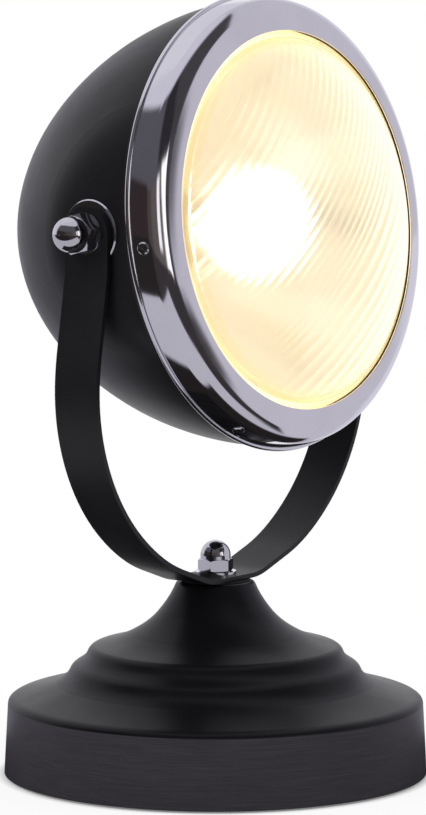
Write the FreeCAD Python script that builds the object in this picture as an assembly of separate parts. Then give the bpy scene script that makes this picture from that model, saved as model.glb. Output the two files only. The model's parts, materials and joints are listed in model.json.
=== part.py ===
"""Tabletop searchlight lamp: a tilting headlamp head in a strap yoke on a round base.

Millimetres, +Z up. The origin is the centre of the flat underside of the base.
The head looks towards -Y and the pivots lie along X.
"""
import FreeCAD, Part
import math
import os
from FreeCAD import Placement, Rotation, Vector

# Base
BASE_R = 87.5            # side band at its lower edge
BASE_RIM_R = 85.9        # side band at its upper edge
SHELL_FOOT_Z = 0.8       # the shell ends just clear of the table
NECK_TOP_Z = 80.4
SHEET = 1.2              # wall of the spun base and of the pressed housing
FELT_R = 84.0
FELT_T = 2.0
COVER_R = 85.6
COVER_T = 1.2
WEIGHT_R = 77.0
WEIGHT_T = 15.0
WEIGHT_RECESS_R = 14.0
WEIGHT_RECESS_H = 9.0
COVER_SCREW_CIRCLE_R = 62.0
COVER_SCREWS = 3

# Threaded rod, nuts and washers (M8)
ROD_R = 4.0
ROD_FIT = 0.05           # clearance between the rod and what turns or sits on it
HEX_AF = 13.0
HEX_T = 6.0
WASHER_R = 8.5
WASHER_T = 1.4
SWIVEL_WASHER_R = 14.0
SWIVEL_WASHER_T = 0.6

# Yoke
STRAP_W = 21.4
STRAP_T = 2.0
YOKE_UNDER_Z = NECK_TOP_Z + SWIVEL_WASHER_T
YOKE_HALF_W = 91.0       # outside, at the widest height
YOKE_WIDE_Z = 166.0
YOKE_FLAT = 11.0         # half length of the flat seat on the neck
ARM_HALF_W = 84.0        # outside, at the pivots
ARM_STRAIGHT = 8.0       # the arms are straight from this far below the pivots

# Head: distances along its own axis are counted forwards from the pivots
PIVOT_Z = 229.6
HEAD_TILT = 6.9          # degrees above level, at rest
AXIS_DROP = 3.1          # the head's axis passes below the pivots
DOME_R = 90.8
DOME_RIM = 27.0          # where the round housing ends, behind the trim ring
DOME_BACK = -87.2
DOME_FLAT_BACK = -86.2   # small pressed flat for the cable gland
DOME_SIDE_POWER = 1.77
DOME_BACK_POWER = 1.87
CHEEK_HALF_W = 80.4      # flats pressed into the sides, where the arms pass
CHEEK_END = 24.5
CHEEK_BLEND = 34.0
SPIGOT_R = 87.7
SPIGOT_END = 34.6

TRIM_SHEET = 0.8
BEAD_R = 1.1
BEAD_RING_R = 92.0
BEAD_S = 28.0
LIP_R = 77.1
LIP_S = 43.05
CLIP_TURN = 3.0          # degrees from the pivot axis to the first clip
CLIP_STEP = 60.0
TRIM_SCREW_STEPS = (0, 3, 4, 5)   # the clips that are screwed through the band
TRIM_SCREW_R = 1.5
TRIM_HEAD_R = 2.5
TRIM_SCREW_TILT = 14.5   # the band's slope where the screws pass
TRIM_SEAT_R = 90.92      # each head sits on a small flat sunk in the band
TRIM_SEAT_S = 33.5

LENS_FLANGE_R = 84.5
LENS_FLANGE_BACK = 35.4
LENS_FLANGE_FRONT = 38.0
LENS_WALL_R = 76.4
LENS_SHOULDER_S = 41.3
LENS_EDGE_R = 75.2
LENS_EDGE_S = 42.5
LENS_BULGE = 26.4
LENS_T = 3.0

CLIP_W = 7.0
CLIP_T = 0.8
CLIP_TIP_R = 73.0
CLIP_LEG_R = 86.4
CLIP_LEG_BACK = 28.0
CLIP_FRONT = 35.3

MIRROR_R = 68.0
MIRROR_FLANGE_R = 83.0
MIRROR_FRONT = 33.6
MIRROR_VERTEX = -24.0
MIRROR_NECK_R = 15.6
MIRROR_T = 0.8

GLOBE_R = 22.5
GLOBE_S = 20.0
BULB_GLASS_T = 0.9
CAP_R = 6.9
CAP_BACK = -34.5
CAP_FRONT = -8.0

HOLDER_R = 14.0
HOLDER_BACK = -47.5
HOLDER_FRONT = -5.0
HOLDER_BORE_R = 11.4
HOLDER_FLOOR = -40.0
PLATE_R = 26.0
PLATE_T = 1.5
PLATE_S = -52.0
STEM_R = 5.0
STEM_BORE_R = 3.6
STEM_BACK = -92.0
STEM_FRONT = -43.0
CORD_SLOT_BACK = -78.0   # the cord leaves the tube through a slot in its upper side
CORD_SLOT_FRONT = -66.0
CORD_SLOT_W = 6.8
STEM_NUT_AF = 14.0
STEM_NUT_T = 3.0
GLAND_FLANGE_R = 9.0
GLAND_BACK = -97.0
LEAD_R = 1.2
LEAD_X = 5.0
LEAD_Y = 17.5
LEAD_ENTRY_S = -30.0
LEAD_BEND_R = 3.0

# Pivots
DISC_R = 13.3
PIVOT_PLATE_R = 12.0
PIVOT_PLATE_T = 1.5
PIVOT_NUT_AF = 15.0
PIVOT_NUT_HEX_T = 6.4
PIVOT_NUT_DOME_R = 7.3
PIVOT_NUT_H = 15.6
NECK_NUT_HEX_T = 5.2
NECK_NUT_DOME_R = 6.25
NECK_NUT_H = 12.8

X, Y, Z = Vector(1, 0, 0), Vector(0, 1, 0), Vector(0, 0, 1)
ORIGIN = Vector(0, 0, 0)


# ---------------------------------------------------------------- helpers

def point(radius, height):
    return Vector(radius, 0, height)


def heading(degrees):
    return point(math.cos(math.radians(degrees)), math.sin(math.radians(degrees)))


def smooth_edge(start, end):
    """An edge of an outline, from one (radius, height, heading) to the next."""
    a, b = point(*start[:2]), point(*end[:2])
    turn = math.radians(abs(end[2] - start[2]))
    chord = (b - a).Length
    if turn < 0.002:
        return Part.LineSegment(a, b).toShape()
    handle = chord * 2 / 3 * math.tan(turn / 4) / math.sin(turn / 2)
    curve = Part.BezierCurve()
    curve.setPoles([a, a + heading(start[2]) * handle, b - heading(end[2]) * handle, b])
    return curve.toShape()


def smooth_edges(nodes):
    return [smooth_edge(a, b) for a, b in zip(nodes, nodes[1:])]


def inset(nodes, wall, side):
    """The same outline moved by the wall, to the left (side 1) or right (side -1)."""
    moved = []
    for radius, height, degrees in nodes:
        normal = heading(degrees + 90 * side)
        moved.append((radius + normal.x * wall, height + normal.z * wall, degrees))
    return moved


def line(a, b):
    return Part.LineSegment(a, b).toShape()


def spun(edges, axis_x=0.0):
    """The solid swept by a closed outline in the XZ plane, turned about Z."""
    face = Part.Face(Part.Wire(Part.__sortEdges__(edges)))
    solid = face.revolve(Vector(axis_x, 0, 0), Z, 360)
    return solid if solid.Volume > 0 else solid.reversed()


def spun_wall(nodes, wall, side):
    """A sheet-metal shell of revolution along an outline."""
    inner = inset(nodes, wall, side)
    edges = smooth_edges(nodes) + smooth_edges(inner)
    edges.append(line(point(*nodes[0][:2]), point(*inner[0][:2])))
    edges.append(line(point(*nodes[-1][:2]), point(*inner[-1][:2])))
    return spun(edges)


def spun_polygon(points):
    corners = [point(*p) for p in points]
    return spun([line(a, b) for a, b in zip(corners, corners[1:] + corners[:1])])


def ring(outer_r, inner_r, bottom, top):
    return spun_polygon([(inner_r, bottom), (outer_r, bottom), (outer_r, top), (inner_r, top)])


def rod(radius, bottom, top):
    return Part.makeCylinder(radius, top - bottom, Vector(0, 0, bottom))


def hexagon(across_flats, bottom, top):
    """A hexagonal prism with its corners turned off at both ends."""
    corner = across_flats / math.sqrt(3)
    corners = [Vector(corner * math.cos(a), corner * math.sin(a), bottom)
               for a in (math.radians(60 * i) for i in range(7))]
    prism = Part.Face(Part.makePolygon(corners)).extrude(Vector(0, 0, top - bottom))
    bevel = corner - across_flats / 2 * 0.98
    rise = bevel * math.tan(math.radians(30))
    turned = spun_polygon([(0, bottom), (corner - bevel, bottom), (corner, bottom + rise),
                           (corner, top - rise), (corner - bevel, top), (0, top)])
    return prism.common(turned)


def hex_nut(across_flats, bottom, thickness, bore_r):
    top = bottom + thickness
    return hexagon(across_flats, bottom, top).cut(rod(bore_r, bottom - 1, top + 1))


def cap_nut(across_flats, hex_t, dome_r, height, bore_depth):
    """A domed nut standing on Z = 0."""
    ball_z = height - dome_r
    body = hexagon(across_flats, 0, hex_t)
    body = body.fuse(rod(dome_r, hex_t * 0.5, ball_z))
    body = body.fuse(Part.makeSphere(dome_r, Vector(0, 0, ball_z)))
    return body.cut(rod(ROD_R + ROD_FIT, -1, bore_depth)).removeSplitter()


def moved(shape, x=0.0, y=0.0, z=0.0):
    copy = shape.copy()
    copy.translate(Vector(x, y, z))
    return copy


def turned(shape, axis, degrees, centre=ORIGIN):
    copy = shape.copy()
    copy.rotate(centre, axis, degrees)
    return copy


def ring_of(shape, count, first=0.0):
    """Copies of a shape round the Z axis."""
    return [turned(shape, Z, first + 360.0 * i / count) for i in range(count)]


def both_sides(shape):
    """A shape built along +Z from the pivot, laid outwards along +X and along -X."""
    right = turned(shape, Y, 90)
    return [right, turned(right, Z, 180)]


def cut_all(shape, tools):
    for tool in tools:
        shape = shape.cut(tool)
    return shape


# ---------------------------------------------------------------- base

def base_shell():
    outline = [
        (ROD_R + 0.2, NECK_TOP_Z, 0),
        (14.6, NECK_TOP_Z, 0),
        (16.6, 78.9, -68),
        (24.0, 67.2, -50),
        (36.0, 58.2, -28),
        (50.0, 53.4, -14),
        (53.0, 50.6, -72),
        (57.2, 46.4, -30),
        (60.2, 43.4, -68),
        (66.0, 37.9, -24),
        (82.6, 32.4, -15),
        (BASE_RIM_R, 29.6, -86.8),
        (BASE_R, SHELL_FOOT_Z, -86.8),
    ]
    return spun_wall(outline, SHEET, -1)


def cover_screw():
    """A countersunk screw that stands on the underside of the cover."""
    return spun_polygon([(0, 0), (3.8, 0), (2.0, 1.9), (2.0, 11.0), (0, 11.0)])


def cover_screw_places(shape):
    return ring_of(moved(shape, x=COVER_SCREW_CIRCLE_R, z=FELT_T), COVER_SCREWS, 90)


def base_felt():
    return rod(FELT_R, 0, FELT_T)


def base_cover():
    plate = rod(COVER_R, FELT_T, FELT_T + COVER_T)
    return cut_all(plate, cover_screw_places(cover_screw()))


def ballast_weight():
    bottom = FELT_T + COVER_T
    top = bottom + WEIGHT_T
    bevel = 2.0
    weight = spun_polygon([
        (WEIGHT_RECESS_R, bottom), (WEIGHT_R, bottom), (WEIGHT_R, top - bevel),
        (WEIGHT_R - bevel, top), (ROD_R + 0.3, top), (ROD_R + 0.3, bottom + WEIGHT_RECESS_H),
        (WEIGHT_RECESS_R, bottom + WEIGHT_RECESS_H)])
    return cut_all(weight, cover_screw_places(cover_screw()))


def rod_washer_heights():
    """Undersides of the washers: in the weight's recess, on the weight, under the neck."""
    recess = FELT_T + COVER_T + WEIGHT_RECESS_H - WASHER_T
    top = FELT_T + COVER_T + WEIGHT_T
    return [recess, top, NECK_TOP_Z - SHEET - WASHER_T]


def rod_nut_heights():
    recess, top, neck = rod_washer_heights()
    return [recess - HEX_T, top + WASHER_T, neck - HEX_T]


def rod_washers():
    return [ring(WASHER_R, ROD_R + ROD_FIT, z, z + WASHER_T) for z in rod_washer_heights()]


def rod_nuts():
    return [hex_nut(HEX_AF, z, HEX_T, ROD_R + ROD_FIT) for z in rod_nut_heights()]


def neck_nut_z():
    return YOKE_UNDER_Z + STRAP_T + WASHER_T


def neck_rod():
    bottom = rod_nut_heights()[0] - 0.8
    top = neck_nut_z() + NECK_NUT_H - 4.5
    bevel = 0.8
    return spun_polygon([(0, bottom), (ROD_R - bevel, bottom), (ROD_R, bottom + bevel),
                         (ROD_R, top - bevel), (ROD_R - bevel, top), (0, top)])


def swivel_washer():
    return ring(SWIVEL_WASHER_R, ROD_R + ROD_FIT, NECK_TOP_Z, YOKE_UNDER_Z)


def yoke_washer():
    bottom = YOKE_UNDER_Z + STRAP_T
    return ring(WASHER_R, ROD_R + ROD_FIT, bottom, bottom + WASHER_T)


def yoke_cap_nut():
    nut = cap_nut(HEX_AF, NECK_NUT_HEX_T, NECK_NUT_DOME_R, NECK_NUT_H, NECK_NUT_H - 4.0)
    return moved(turned(nut, Z, 22), z=neck_nut_z())


# ---------------------------------------------------------------- yoke

def yoke_curve():
    """The outside of one arm, from the flat seat up to where the arm is straight."""
    drop = YOKE_WIDE_Z - YOKE_UNDER_Z
    points = [point(YOKE_FLAT, YOKE_UNDER_Z)]
    for x in (26.0, 40.0, 55.0, 70.0, 82.0, 88.6):
        points.append(point(x, YOKE_WIDE_Z - drop * math.sqrt(1 - (x / YOKE_HALF_W) ** 2)))
    points.append(point(YOKE_HALF_W, YOKE_WIDE_Z))
    lean = YOKE_HALF_W - ARM_HALF_W
    top = PIVOT_Z - ARM_STRAIGHT
    for part in (0.22, 0.5, 0.78):
        blend = part * part * (3 - 2 * part)
        points.append(point(YOKE_HALF_W - lean * blend, YOKE_WIDE_Z + (top - YOKE_WIDE_Z) * part))
    points.append(point(ARM_HALF_W, top))
    curve = Part.BSplineCurve()
    curve.interpolate(Points=points, InitialTangent=X, FinalTangent=Z)
    return curve


def inner_curve(outer, wall, count):
    """A curve the wall's thickness to the left of another one."""
    first, last = outer.FirstParameter, outer.LastParameter
    points = []
    for i in range(count):
        at = first + (last - first) * i / (count - 1)
        along = outer.tangent(at)[0]
        points.append(outer.value(at) + Vector(-along.z, 0, along.x) * wall)
    curve = Part.BSplineCurve()
    curve.interpolate(Points=points, InitialTangent=outer.tangent(first)[0],
                      FinalTangent=outer.tangent(last)[0])
    return curve


def yoke_strap():
    outer = yoke_curve()
    inner = inner_curve(outer, STRAP_T, 22)
    end_z = PIVOT_Z + STRAP_W / 2
    seat_out, seat_in = point(0, YOKE_UNDER_Z), point(0, YOKE_UNDER_Z + STRAP_T)
    tip_out, tip_in = point(ARM_HALF_W, end_z), point(ARM_HALF_W - STRAP_T, end_z)
    edges = [
        line(seat_out, outer.value(outer.FirstParameter)), outer.toShape(),
        line(outer.value(outer.LastParameter), tip_out), line(tip_out, tip_in),
        line(tip_in, inner.value(inner.LastParameter)), inner.toShape(),
        line(inner.value(inner.FirstParameter), seat_in), line(seat_in, seat_out)]
    face = Part.Face(Part.Wire(Part.__sortEdges__(edges)))
    face.translate(Vector(0, -STRAP_W / 2, 0))
    half = face.extrude(Vector(0, STRAP_W, 0))
    strap = half.fuse(half.mirror(ORIGIN, X)).removeSplitter()
    reach = YOKE_HALF_W + 5
    body = Part.makeBox(2 * reach, STRAP_W, PIVOT_Z - 60, Vector(-reach, -STRAP_W / 2, 60))
    ends = Part.makeCylinder(STRAP_W / 2, 2 * reach, Vector(-reach, 0, PIVOT_Z), X)
    strap = strap.common(body.fuse(ends).removeSplitter())
    strap = strap.cut(rod(ROD_R + ROD_FIT, YOKE_UNDER_Z - 1, YOKE_UNDER_Z + STRAP_T + 1))
    return strap.cut(Part.makeCylinder(ROD_R + ROD_FIT, 2 * reach, Vector(-reach, 0, PIVOT_Z), X))


# ---------------------------------------------------------------- head
# Every head piece is built with the head's axis along Z and the pivots on X.

def on_axis(shape):
    return moved(shape, y=-AXIS_DROP)


def dome_point(angle, shrink=0.0):
    """A point of the housing's outline, from the rim (0 degrees) to the back (90)."""
    depth = DOME_RIM - DOME_BACK - shrink
    across = (DOME_R - shrink) * math.cos(math.radians(angle)) ** (2 / DOME_BACK_POWER)
    back = depth * math.sin(math.radians(angle)) ** (2 / DOME_SIDE_POWER)
    return point(across, DOME_RIM - back)


def dome_block(shrink, front_steps):
    """The filled bowl, with its outline moved in by the shrink, and its front steps."""
    angles = [0, 12, 24, 36, 48, 60, 70, 80, 90]
    curve = Part.BSplineCurve()
    curve.interpolate(Points=[dome_point(a, shrink) for a in angles], InitialTangent=Z * -1,
                      FinalTangent=X * -1)
    corners = [point(*p) for p in front_steps]
    corners = [dome_point(0, shrink)] + corners + [dome_point(90, shrink)]
    edges = [line(a, b) for a, b in zip(corners, corners[1:])] + [curve.toShape()]
    return spun(edges)


def cheek_cuts(half_w, end):
    block = Part.makeBox(30, 240, 200 + end, Vector(half_w, -120, -200))
    return [block, turned(block, Z, 180)]


def soften_cheeks(solid, half_w, radius):
    """Blend the flats into the bowl along their rear edges."""
    edges = []
    for edge in solid.Edges:
        box = edge.BoundBox
        on_flat = abs(abs(box.XMin) - half_w) < 0.01 and abs(abs(box.XMax) - half_w) < 0.01
        if on_flat and box.ZMin < CHEEK_END - 5:
            edges.append(edge)
    return solid.makeFillet(radius, edges)


def housing_dome():
    step_r = SPIGOT_R
    outer = dome_block(0.0, [(DOME_R, DOME_RIM + 0.01), (step_r, DOME_RIM + 0.01),
                             (step_r, SPIGOT_END), (0, SPIGOT_END)])
    inner = dome_block(SHEET, [(step_r - SHEET, DOME_RIM), (step_r - SHEET, SPIGOT_END + 1),
                               (0, SPIGOT_END + 1)])
    half_w = CHEEK_HALF_W
    outer = cut_all(on_axis(outer), cheek_cuts(half_w, CHEEK_END))
    outer = soften_cheeks(outer, half_w, CHEEK_BLEND)
    half_w -= SHEET
    inner = cut_all(on_axis(inner), cheek_cuts(half_w, CHEEK_END + SHEET))
    inner = soften_cheeks(inner, half_w, CHEEK_BLEND - SHEET)
    outer = outer.cut(Part.makeBox(60, 60, 10, Vector(-30, -30, DOME_FLAT_BACK - 10)))
    inner = inner.cut(Part.makeBox(60, 60, 10, Vector(-30, -30, DOME_FLAT_BACK + SHEET - 10)))
    shell = outer.cut(inner)
    shell = shell.cut(Part.makeCylinder(ROD_R + 0.2, 240, Vector(-120, 0, 0), X))
    shell = shell.cut(on_axis(rod(STEM_R + 0.1, -100, -70)))
    return cut_all(shell, trim_screw_holes(TRIM_SCREW_R + 0.1, -6, 0))


def trim_outline():
    """The outside of the trim ring, from the band at the back to the lip."""
    return [
        (BEAD_RING_R, BEAD_S + 0.6, 98),
        (90.3, 36.2, 108),
        (89.2, 37.75, 137),
        (85.2, 40.4, 152),
        (82.3, 41.5, 162.5),
        (LIP_R, LIP_S, 165),
    ]


def trim_ring():
    band = spun_wall(trim_outline(), TRIM_SHEET, 1)
    bead = Part.makeTorus(BEAD_RING_R, BEAD_R, Vector(0, 0, BEAD_S), Z)
    lip_r = TRIM_SHEET / 2
    lip_in = inset(trim_outline()[-1:], lip_r, 1)[0]
    lip = Part.makeTorus(lip_in[0], lip_r, Vector(0, 0, lip_in[1]), Z)
    trim = on_axis(band.fuse(bead).fuse(lip).removeSplitter())
    trim = cut_all(trim, trim_screw_holes(TRIM_HEAD_R + 0.1, 0, 4))
    return cut_all(trim, trim_screw_holes(TRIM_SCREW_R + 0.1, -4, 4))


def on_band(shape):
    """A shape built along +Z from the screw's seat, laid square to the band."""
    return moved(turned(shape, Y, 90 - TRIM_SCREW_TILT), x=TRIM_SEAT_R, z=TRIM_SEAT_S)


def round_band(shape, steps):
    return [on_axis(turned(shape, Z, CLIP_TURN + CLIP_STEP * step)) for step in steps]


def trim_screw_holes(radius, bottom, top):
    """Tools for the screws, measured outwards from their seats."""
    return round_band(on_band(rod(radius, bottom, top)), TRIM_SCREW_STEPS)


def trim_screws():
    """Flat-headed screws with a slot, through the band and the housing into the clips."""
    shank = rod(TRIM_SCREW_R, -5.0, 0.2)
    dome = spun_polygon([(0, 0), (TRIM_HEAD_R, 0), (TRIM_HEAD_R, 0.3), (TRIM_HEAD_R - 0.5, 0.7), (0, 0.8)])
    slot = turned(Part.makeBox(6.0, 0.7, 1.2, Vector(-3.0, -0.35, 0.35)), Z, -40)
    screw = dome.fuse(shank).removeSplitter().cut(slot)
    return round_band(on_band(screw), TRIM_SCREW_STEPS)


def lens_glass():
    outer_apex = LENS_EDGE_S + LENS_BULGE
    inner_edge_r = LENS_EDGE_R - 2.2
    inner_edge_s = LENS_EDGE_S - LENS_T

    def cap_arc(edge_r, edge_s, apex_s):
        sag = apex_s - edge_s
        ball = (edge_r ** 2 + sag ** 2) / (2 * sag)
        half = point(edge_r / 2, apex_s - ball + math.sqrt(ball ** 2 - edge_r ** 2 / 4))
        return Part.Arc(point(edge_r, edge_s), half, point(0, apex_s)).toShape()

    corners = [point(inner_edge_r, inner_edge_s), point(inner_edge_r, LENS_FLANGE_BACK),
               point(LENS_FLANGE_R, LENS_FLANGE_BACK), point(LENS_FLANGE_R, LENS_FLANGE_FRONT),
               point(LENS_WALL_R, LENS_FLANGE_FRONT), point(LENS_WALL_R, LENS_SHOULDER_S),
               point(LENS_EDGE_R, LENS_EDGE_S)]
    edges = [line(a, b) for a, b in zip(corners, corners[1:])]
    edges.append(cap_arc(LENS_EDGE_R, LENS_EDGE_S, outer_apex))
    edges.append(line(point(0, outer_apex), point(0, outer_apex - LENS_T)))
    edges.append(cap_arc(inner_edge_r, inner_edge_s, outer_apex - LENS_T))
    return on_axis(spun(edges))


def lens_gasket():
    back = LENS_FLANGE_FRONT + 0.05
    return on_axis(spun_polygon([(77.6, back), (83.0, back), (83.0, 39.3), (77.6, 41.1)]))


def lens_clips():
    """Spring clips: a leg on the wall of the housing and a tongue behind the glass."""
    tongue = Part.makeBox(CLIP_LEG_R - CLIP_TIP_R, CLIP_W, CLIP_T,
                          Vector(CLIP_TIP_R, -CLIP_W / 2, CLIP_FRONT - CLIP_T))
    leg = Part.makeBox(CLIP_T, CLIP_W, CLIP_FRONT - CLIP_LEG_BACK,
                       Vector(CLIP_LEG_R - CLIP_T, -CLIP_W / 2, CLIP_LEG_BACK))
    tab = Part.makeCylinder(CLIP_W / 2, CLIP_T, Vector(CLIP_TIP_R, 0, CLIP_FRONT - CLIP_T))
    clip = tongue.fuse(leg).fuse(tab).removeSplitter()
    screwed = clip.cut(on_band(rod(TRIM_SCREW_R + ROD_FIT, -6, 2)))
    return [round_band(screwed if step in TRIM_SCREW_STEPS else clip, [step])[0]
            for step in range(round(360 / CLIP_STEP))]


def reflector():
    focal = MIRROR_R ** 2 / (MIRROR_FRONT - MIRROR_VERTEX)
    points = []
    steps = 5
    for i in range(steps + 1):
        radius = MIRROR_NECK_R + (MIRROR_R - MIRROR_NECK_R) * i / steps
        points.append(point(radius, MIRROR_VERTEX + radius ** 2 / focal))
    front = Part.BSplineCurve()
    front.interpolate(points)
    back = inner_curve(front, -MIRROR_T, 8)
    rim_r = MIRROR_FLANGE_R
    rim_top = MIRROR_FRONT + MIRROR_T
    tip_f, tip_b = points[-1], back.value(back.LastParameter)
    edges = [front.toShape(), back.toShape(),
             line(points[0], back.value(back.FirstParameter)),
             line(tip_f, point(tip_f.x, rim_top)), line(point(tip_f.x, rim_top), point(rim_r, rim_top)),
             line(point(rim_r, rim_top), point(rim_r, MIRROR_FRONT - 0.3)),
             line(point(rim_r, MIRROR_FRONT - 0.3), point(tip_b.x, MIRROR_FRONT - 0.3)),
             line(point(tip_b.x, MIRROR_FRONT - 0.3), tip_b)]
    return on_axis(spun(edges))


def bulb_glass():
    join = math.radians(-53)
    outline = [
        (CAP_R - 0.4, CAP_FRONT - 2.0, 90),
        (CAP_R - 0.4, CAP_FRONT + 1.0, 90),
        (GLOBE_R * math.cos(join), GLOBE_S + GLOBE_R * math.sin(join), 37),
        (GLOBE_R, GLOBE_S, 90),
        (0, GLOBE_S + GLOBE_R, 180),
    ]
    return on_axis(spun_wall(outline, BULB_GLASS_T, 1))


def bulb_cap():
    """A screw cap with rounded threads, a cup round the glass and a contact at the tip."""
    pitch = 2.8
    body_r = CAP_R - 0.5
    cup_r = CAP_R - 0.35
    body = spun_polygon([
        (0, CAP_BACK - 1.6), (2.2, CAP_BACK - 1.6), (4.4, CAP_BACK), (body_r, CAP_BACK),
        (body_r, CAP_FRONT - 3.2), (CAP_R + 0.3, CAP_FRONT - 2.6), (CAP_R + 0.3, CAP_FRONT),
        (cup_r, CAP_FRONT), (cup_r, CAP_FRONT - 2.2), (0, CAP_FRONT - 2.2)])
    turns = int((CAP_FRONT - 4.0 - CAP_BACK) / pitch)
    for i in range(turns):
        crest = CAP_BACK + pitch * (i + 0.8)
        body = body.fuse(Part.makeTorus(CAP_R - 0.75, 0.7, Vector(0, 0, crest), Z))
    return on_axis(body.removeSplitter())


def lead_paths(shape):
    return [moved(shape, x=-LEAD_X), moved(shape, x=LEAD_X)]


def holder_body():
    body = spun_polygon([
        (STEM_R + 0.05, HOLDER_BACK), (HOLDER_R - 1.5, HOLDER_BACK), (HOLDER_R, HOLDER_BACK + 1.5),
        (HOLDER_R, HOLDER_FRONT - 1.0), (HOLDER_R - 1.0, HOLDER_FRONT), (HOLDER_BORE_R, HOLDER_FRONT),
        (HOLDER_BORE_R, HOLDER_FLOOR), (STEM_R + 0.05, HOLDER_FLOOR)])
    rib = ring(HOLDER_R + 0.9, HOLDER_R - 0.5, HOLDER_FRONT - 9, HOLDER_FRONT - 6.5)
    bore = Part.makeCylinder(LEAD_R + 0.1, HOLDER_R, Vector(0, HOLDER_BORE_R - 6, LEAD_ENTRY_S), Y)
    return on_axis(cut_all(body.fuse(rib).removeSplitter(), lead_paths(bore)))


def holder_contact():
    """The brass screw shell on its floor disc, with the centre contact."""
    floor = HOLDER_FLOOR + 0.1
    tube_r = CAP_R + 0.9
    return on_axis(spun_polygon([
        (0, floor), (HOLDER_BORE_R - 0.1, floor), (HOLDER_BORE_R - 0.1, floor + 1.0),
        (tube_r, floor + 1.0), (tube_r, CAP_FRONT - 3.0), (tube_r - 0.7, CAP_FRONT - 3.0),
        (tube_r - 0.7, floor + 1.0), (2.0, floor + 1.0), (1.6, CAP_BACK - 1.7), (0, CAP_BACK - 1.7)]))


def holder_plate():
    plate = rod(PLATE_R, PLATE_S, PLATE_S + PLATE_T).cut(rod(STEM_R + 0.1, PLATE_S - 1, PLATE_S + 3))
    holes = lead_paths(moved(rod(LEAD_R + 0.3, PLATE_S - 1, PLATE_S + 3), y=LEAD_Y))
    plate = cut_all(plate, holes)
    return on_axis(plate.cut(moved(rod(2.05, PLATE_S - 1, PLATE_S + 3), y=-15)))


def stem_tube():
    tube = ring(STEM_R, STEM_BORE_R, STEM_BACK, STEM_FRONT)
    half = CORD_SLOT_W / 2
    ends = [Part.makeCylinder(half, 10, Vector(0, 0, s), Y)
            for s in (CORD_SLOT_BACK + half, CORD_SLOT_FRONT - half)]
    between = Part.makeBox(CORD_SLOT_W, 10, CORD_SLOT_FRONT - CORD_SLOT_BACK - CORD_SLOT_W,
                           Vector(-half, 0, CORD_SLOT_BACK + half))
    return on_axis(cut_all(tube, ends + [between]))


def stem_nuts():
    """One inside the housing's back, and one on each side of the plate."""
    places = [DOME_FLAT_BACK + SHEET, PLATE_S - STEM_NUT_T, PLATE_S + PLATE_T]
    return [on_axis(hex_nut(STEM_NUT_AF, s, STEM_NUT_T, STEM_R + ROD_FIT)) for s in places]


def cable_gland():
    outer = [(STEM_R + ROD_FIT, DOME_FLAT_BACK), (GLAND_FLANGE_R, DOME_FLAT_BACK),
             (GLAND_FLANGE_R, DOME_FLAT_BACK - 1.6), (GLAND_FLANGE_R - 1.0, DOME_FLAT_BACK - 2.4),
             (7.2, DOME_FLAT_BACK - 2.4), (6.0, GLAND_BACK + 0.8), (5.2, GLAND_BACK),
             (STEM_BORE_R, GLAND_BACK), (STEM_BORE_R, STEM_BACK), (STEM_R + ROD_FIT, STEM_BACK)]
    return on_axis(spun_polygon(outer))


def terminal_block():
    """A three-way block on the rear of the plate, with screws in its back."""
    width, height, depth = 24.0, 11.0, 10.0
    block = Part.makeBox(width, height, depth, Vector(-width / 2, LEAD_Y - height / 2, PLATE_S - depth))
    for x in (-8.0, 0.0, 8.0):
        tower = Part.makeCylinder(3.0, 3.0, Vector(x, LEAD_Y, PLATE_S - depth - 3.0))
        block = block.fuse(tower.cut(Part.makeCylinder(1.8, 3.0, Vector(x, LEAD_Y, PLATE_S - depth - 3.0))))
    holes = lead_paths(Part.makeCylinder(LEAD_R + 0.1, 5.0, Vector(0, LEAD_Y, PLATE_S - 5.0)))
    return on_axis(cut_all(block.removeSplitter(), holes))


def earth_screw():
    head = spun_polygon([(0, PLATE_S - 2.6), (2.6, PLATE_S - 2.6), (3.8, PLATE_S - 1.4),
                         (3.8, PLATE_S), (2.0, PLATE_S), (2.0, PLATE_S + 5), (0, PLATE_S + 5)])
    slot = Part.makeBox(8, 0.9, 1.2, Vector(-4, -0.45, PLATE_S - 2.7))
    return on_axis(moved(head.cut(slot), y=-15))


def lead_wires():
    """Two insulated leads, from the terminals through the plate into the lampholder."""
    start = Vector(0, LEAD_Y, PLATE_S - 4.5)
    corner = Vector(0, LEAD_Y, LEAD_ENTRY_S)
    end = Vector(0, HOLDER_BORE_R + 0.4, LEAD_ENTRY_S)
    bend_start = corner - Z * LEAD_BEND_R
    bend_end = corner - Y * LEAD_BEND_R
    middle = corner - (Y + Z) * LEAD_BEND_R * (1 - math.sqrt(0.5))
    path = Part.Wire([line(start, bend_start), Part.Arc(bend_start, middle, bend_end).toShape(),
                      line(bend_end, end)])
    section = Part.Wire([Part.Circle(start, Z, LEAD_R).toShape()])
    wire = path.makePipeShell([section], True, False)
    return [on_axis(w) for w in lead_paths(wire)]


# ---------------------------------------------------------------- pivots

def pivot_plates():
    face = CHEEK_HALF_W - SHEET
    return both_sides(ring(PIVOT_PLATE_R, ROD_R + ROD_FIT, face - PIVOT_PLATE_T, face))


def pivot_discs():
    """Spacer discs with a rounded outer edge."""
    back, front = CHEEK_HALF_W, ARM_HALF_W - STRAP_T
    bevel = 0.5
    return both_sides(spun_polygon([
        (ROD_R + ROD_FIT, back), (DISC_R, back), (DISC_R, front - bevel),
        (DISC_R - bevel, front), (ROD_R + ROD_FIT, front)]))


def pivot_washers():
    return both_sides(ring(WASHER_R, ROD_R + ROD_FIT, ARM_HALF_W, ARM_HALF_W + WASHER_T))


def pivot_bolts():
    head_face = CHEEK_HALF_W - SHEET - PIVOT_PLATE_T
    head = hexagon(HEX_AF, head_face - 5.3, head_face)
    shank = rod(ROD_R, head_face - 1, ARM_HALF_W + WASHER_T + PIVOT_NUT_H - 5.5)
    return both_sides(head.fuse(shank).removeSplitter())


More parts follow.
